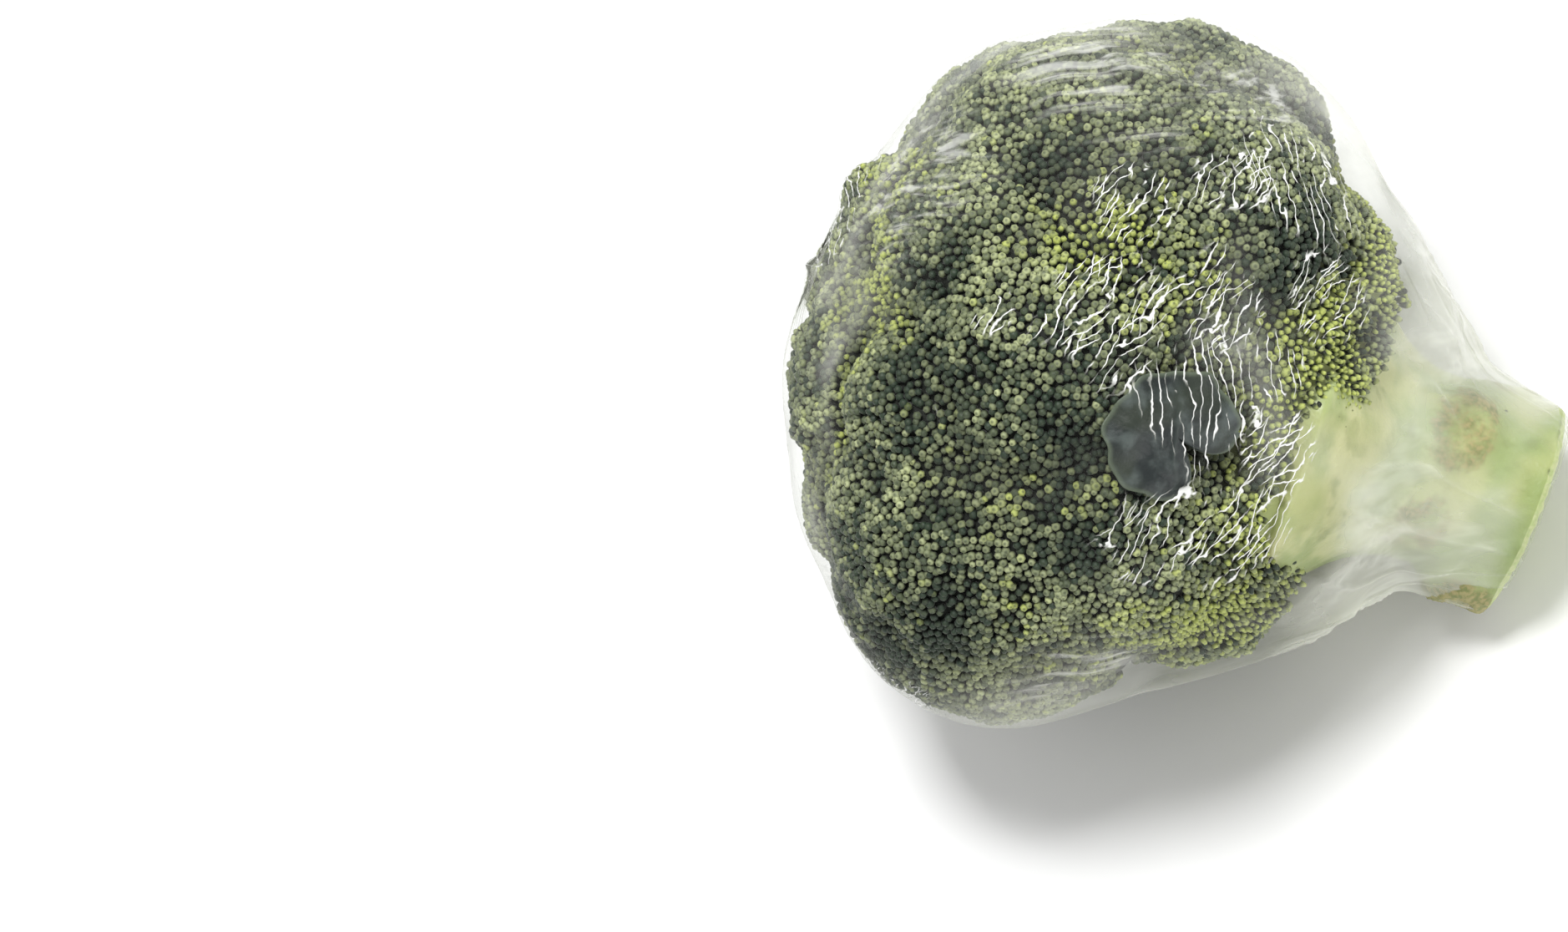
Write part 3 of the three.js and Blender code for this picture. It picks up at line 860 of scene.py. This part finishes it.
def hullReach(rays, normals, levels):
    # Along plant rays from the crown's centre to the nearest face, some rays at a time.
    normals, levels = normals.T.astype(np.float32), levels.astype(np.float32)
    reach, length = np.empty(len(rays)), 8000
    for part in range(0, len(rays), length):
        facing = rays[part:part + length].astype(np.float32) @ normals
        away = np.where(facing > 1e-3, levels / np.maximum(facing, 1e-3), 9)
        reach[part:part + length] = away.min(1)
    return reach


def stalkReach(rays):  # along plant rays from the crown's centre to the stalk's side or its cut end
    flat = np.maximum(np.hypot(rays[:, 0], rays[:, 1]), 1e-4)
    down = np.maximum(-rays[:, 2], 1e-4)
    side = stalk["radius"] / flat
    mound = scarField(side * down, np.arctan2(rays[:, 1], rays[:, 0]))[0]
    leaning = stalk["lean"] * rays[:, 1] / flat * rise(side * down, 0, stalk["length"])
    side = (stalk["radius"] + mound + leaning) / flat
    return np.where(rays[:, 2] < 0, np.minimum(side, stalk["length"] / down), 0)


def smoothGrid(values, times):  # each value moves towards the mean of its four neighbours
    for _ in range(times):
        wide = np.pad(values, 1, mode="edge")
        upright, level = wide[:-2, 1:-1] + wide[2:, 1:-1], wide[1:-1, :-2] + wide[1:-1, 2:]
        values = 0.5 * values + 0.125 * (upright + level)
    return values


def sharpRidge(values, width):  # 1 where the values cross zero, falling to 0 at width
    return np.clip(1 - np.abs(values) / width, 0, 1) ** 1.5


def filmGrid(normals, levels):
    # Polar angles and turns of the sheet's points, its rows evenly spaced along the mean outline.
    around = np.linspace(-math.pi - film["overlap"], math.pi + film["overlap"], film["columns"])
    coarse = np.linspace(0.002, math.pi - 0.030, 240)
    few = evenTurns(24)
    rays = plantRays(coarse[:, None] + 0 * few, few)
    mean = hullReach(rays.reshape(-1, 3), normals, levels).reshape(len(coarse), len(few)).mean(1)
    path = np.stack([mean * np.sin(coarse), mean * np.cos(coarse)], -1)
    length = np.concatenate([[0], np.cumsum(np.linalg.norm(np.diff(path, axis=0), axis=1))])
    polar = np.interp(np.linspace(0, length[-1], film["rows"]), length, coarse)[:, None] + 0 * around
    return polar, around + 0 * polar


def filmWrinkles(local, polar, around, loose):
    # How far the wrinkles stand out, and how much of a ridge each point is: fine streaks, crumples,
    # folds towards the stalk, a gather at both ends, and a low step at the overlap.
    swirl = local @ np.array([[1, 0, 0], [0, 1, 0], [0, 0, 0.28]])
    streaks = sharpRidge(lumps(swirl, 0.006, 32), 0.5) * rise(lumps(local, 0.05, 31), -0.1, 0.9)
    crumple = sharpRidge(lumps(local, 0.011, 33) + 0.5 * lumps(local, 0.005, 34), 0.35)
    crumple = crumple * rise(lumps(local, 0.04, 35), 0.0, 0.8)
    bent = np.sin(9 * around + 1.2 * lumps(local, 0.05, 36))
    folds = sharpRidge(bent + 0.3 * lumps(local, 0.03, 37), 0.30) * rise(polar, 1.9, 2.7) * loose
    ends = np.maximum(rise(polar, 2.96, 3.06), rise(polar, 0.35, 0.02))
    gather = sharpRidge(np.sin(17 * around + lumps(local, 0.02, 38)), 0.8) * ends
    wrinkles = film["streakHeight"] * streaks + film["crumpleHeight"] * crumple * (0.4 + 0.6 * loose)
    wrinkles = wrinkles + film["foldHeight"] * folds + film["gatherHeight"] * gather
    wrinkles = wrinkles + film["waveHeight"] * loose * lumps(local, 0.02, 39)
    wrinkles = wrinkles + film["stepHeight"] * rise(around, math.pi - 0.12, math.pi)
    return wrinkles, np.clip(crumple + folds + gather, 0, 1)


def addFilm(material):
    # A wrapped sheet: rows from the crown's top to the cut end, columns round the stalk, its two edges
    # overlapping behind. Each point lies on its ray at the hull's reach, sagging a little where nothing
    # holds it up, with wrinkles added along the ray. It stays over the floor.
    normals, levels = filmHull()
    columns, rows = film["columns"], film["rows"]
    polar, around = filmGrid(normals, levels)
    rays = plantRays(polar, around)
    flatRays = rays.reshape(-1, 3)
    hull = hullReach(flatRays, normals, levels).reshape(rows, columns) - film["inset"]
    held = np.maximum(crownReach(flatRays), stalkReach(flatRays)).reshape(rows, columns)
    slack = np.maximum(hull - held, 0)
    reach = smoothGrid(hull - film["sag"] * slack * rise(slack, 0, 0.02), 5)
    local = rays * reach[..., None]
    for spot in standSpots:
        reach = reach + 0.001 * spot[4] * bell(local, spot)
    loose = smoothGrid(rise(reach - held, 0.0012, 0.010), 6)
    fromLeaf = np.linalg.norm(local - leafWay * leaf["coverRadius"], axis=-1)
    loose = loose * (1 - np.exp(-((fromLeaf / 0.017) ** 4)))
    wrinkles, ridge = filmWrinkles(local, polar, around, loose)
    reach = np.maximum(reach + wrinkles, held + 0.0001)
    reach = reach + 0.0015 * rise(polar, 0.06, 0.0) * (1 + 0.2 * np.sin(7 * around))
    falling = -(rays @ plantAxes)[..., 2]
    toFloor = (lie["height"] - 0.0001) / np.maximum(falling, 0.05)
    reach = np.where(falling > 0.05, np.minimum(reach, toFloor), reach)
    points = toWorld((rays * reach[..., None]).reshape(-1, 3))
    faces = [gridFaces(rows, columns, False)[:, ::-1]]
    piece = addPiece(
        "filmSheet", points, faces, material, loose=loose, ridge=ridge,
        creased=spotShare(local, creaseGlintSpots), steep=spotShare(local, steepSpots),
        pulled=spotShare(local, pullSpots), hazy=spotShare(local, hazeSpots),
        clear=spotShare(local, clearSpots))
    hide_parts("wrap_film")


def creaseGlintLines(skin, lean, area, kept):
    # Painted white glints along the film's creases: thin lines that lean by an angle in the front view,
    # a zigzag of the distance across them, which wanders with noise, so that they fork, join and break
    # off.
    lean = math.radians(lean)
    along = math.cos(lean) * frameRight + math.sin(lean) * frameUp
    upright = skin.turnedTo(np.cross(along, plantFront), along, plantFront)
    across = skin.node("SeparateXYZ", {}, {"Vector": upright}, "X")
    wander = 4.2 * skin.noise(1.0, 2.0, skin.stretched((150.0, 75.0, 100.0), upright))
    wander = wander + 0.9 * skin.noise(380.0, 2.0)
    steps = across * (1 / film["creaseWidth"]) + wander
    zigzag = steps.maths("PINGPONG", steps, 0.5)
    breaks = skin.noise(1.0, 2.0, skin.stretched((330.0, 95.0, 200.0), upright))
    broken = skin.between(breaks, kept, kept + 0.08)
    where = skin.between(area + 0.8 * (skin.noise(110.0, 2.0) - 0.5), 0.20, 0.40)
    width = film["lineWidth"] * (0.25 + 1.5 * skin.noise(170.0, 1.0))
    return skin.between(zigzag, width, 0.4 * width) * broken * where


def filmSkin():
    # Clear where it clings; hazy where it stands off; whiter seen edge-on, a painted sheen for its
    # glancing reflection; painted white glints along its creases, and white along fine pulled lines.
    skin = Skin("filmSkin")
    loose, ridge, pulled = [skin.kept(key) for key in ("loose", "ridge", "pulled")]
    cloud = skin.between(skin.noise(24.0, 5.0), 0.44, 0.74)
    crease = creaseGlintLines(skin, film["creaseLean"], skin.kept("creased"), 0.44)
    others = [creaseGlintLines(skin, film["lowLean"], skin.kept("creased"), 0.49),
              creaseGlintLines(skin, film["steepLean"], skin.kept("steep"), 0.41)]
    for other in others:
        crease = crease.maths("MAXIMUM", crease, other)
    sockets = {"Vector": skin.place(), "Scale": 40.0, "Detail": 2.0}
    wander = skin.node("TexNoise", {}, sockets, "Color")
    slope = math.radians(film["pullLean"])
    pullWay = math.cos(slope) * frameRight + math.sin(slope) * frameUp
    flat = skin.turnedTo(pullWay, np.cross(plantFront, pullWay), plantFront)
    sockets = {0: wander, 1: (0.01, 0.01, 0.01), 2: flat}
    bentFlat = skin.node("VectorMath", {"operation": "MULTIPLY_ADD"}, sockets)
    threads = skin.noise(1.0, 5.0, skin.stretched((20.0, 520.0, 150.0), bentFlat), 0.6)
    thread = skin.between(threads, 0.46, 0.68) * skin.between(pulled + 0.5 * (cloud - 0.5), 0.05, 0.60)
    smears = skin.noise(1.0, 3.0, skin.stretched((35.0, 130.0, 60.0), flat))
    smear = skin.between(smears, 0.45, 0.75) * loose
    haze = 0.006 + 0.085 * cloud + 0.36 * loose + 0.14 * pulled + 0.17 * smear
    haze = haze + 0.26 * skin.kept("hazy")
    # Whiter where the film is seen edge-on: a painted sheen standing in for its reflection at glancing
    # angles.
    edgeSheen = skin.node("LayerWeight", {}, {"Blend": 0.3}, "Facing")
    veil = haze + 0.60 * edgeSheen ** 2.4 + 0.34 * thread + 0.05 * ridge * loose
    veil = veil * (1 - 0.88 * skin.kept("clear"))
    # Along the crease lines the film turns nearly opaque and near-white: painted glints. The pulled
    # threads whiten it too.
    share = skin.between(veil, 0.0, 1.0, 0.0, 0.90) * (1 - crease) + 0.85 * crease
    white = skin.between(crease + 0.5 * thread, 0.1, 0.8)
    colour = skin.blend(white, (0.84, 0.85, 0.77, 1), (0.97, 0.98, 0.95, 1))
    bump = skin.bump(0.5, 0.0006, crease + 0.4 * thread)
    skin.finish(Base_Color=colour, Roughness=0.22, Normal=bump)
    clear = skin.node("BsdfTransparent", {}, {"Color": (0.965, 0.97, 0.96, 1)})
    cloudy = Wire(skin, skin.base.outputs[0])
    mixed = skin.node("MixShader", {}, {0: share, 1: clear, 2: cloudy})
    skin.plug(skin.out.inputs["Surface"], mixed)
    return skin.material


addFilm(filmSkin())
say("film")


# Floor, light and camera
studio = {"floor": 5.0, "distance": 1.0, "frameWidth": 0.3155, "aimRight": -0.0605, "aimUp": -0.0202}


def areaLight(name, front, up, right, size, power):  # placed in metres from the crown's centre
    data = bpy.data.lights.new(name, "AREA")
    data.shape = "RECTANGLE"
    data.size, data.size_y = size
    data.energy = power
    light = bpy.data.objects.new(name, data)
    bpy.context.scene.collection.objects.link(light)
    place = crownCentre + front * plantFront + up * frameUp + right * frameRight
    light.location = place.tolist()
    light.rotation_mode = "QUATERNION"
    light.rotation_quaternion = Vector(crownCentre - place).to_track_quat("-Z", "Y")


def floorSkin():
    skin = Skin("paperSkin")
    tone = skin.between(skin.noise(6.0, 2.0), 0.3, 0.7)
    colour = skin.blend(tone, (0.90, 0.90, 0.90, 1), (0.93, 0.93, 0.93, 1))
    return skin.finish(Base_Color=colour, Roughness=0.9)


half = studio["floor"] / 2
corners = half * np.array([[-1, -1, 0], [1, -1, 0], [1, 1, 0], [-1, 1, 0]])
floor = addPiece("floor", corners, [np.array([[0, 1, 2, 3]])], floorSkin(), body=None)

world = bpy.data.worlds.new("studioWorld")
bpy.context.scene.world = world
world.use_nodes = True
world.node_tree.nodes["Background"].inputs["Color"].default_value = (1.0, 1.0, 1.0, 1)
world.node_tree.nodes["Background"].inputs["Strength"].default_value = 0.60
bpy.context.scene.view_settings.view_transform = "Standard"

aim = crownCentre + studio["aimRight"] * frameRight + studio["aimUp"] * frameUp
camera = bpy.data.objects.new("camera", bpy.data.cameras.new("camera"))
bpy.context.scene.collection.objects.link(camera)
camera.data.lens = camera.data.sensor_width * studio["distance"] / studio["frameWidth"]
place = aim + studio["distance"] * plantFront
turned = Matrix(np.stack([frameRight, frameUp, plantFront], 1).tolist()).to_4x4()
camera.matrix_world = Matrix.Translation(place.tolist()) @ turned
bpy.context.scene.camera = camera
areaLight("keyLight", 0.9, 0.5, -0.35, (0.30, 0.25), 9.5)
areaLight("fillLight", 0.5, -0.5, 0.5, (0.5, 0.5), 2.2)
areaLight("sideLight", 0.3, 0.7, 0.5, (0.3, 0.6), 1.5)

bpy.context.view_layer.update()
say("done")
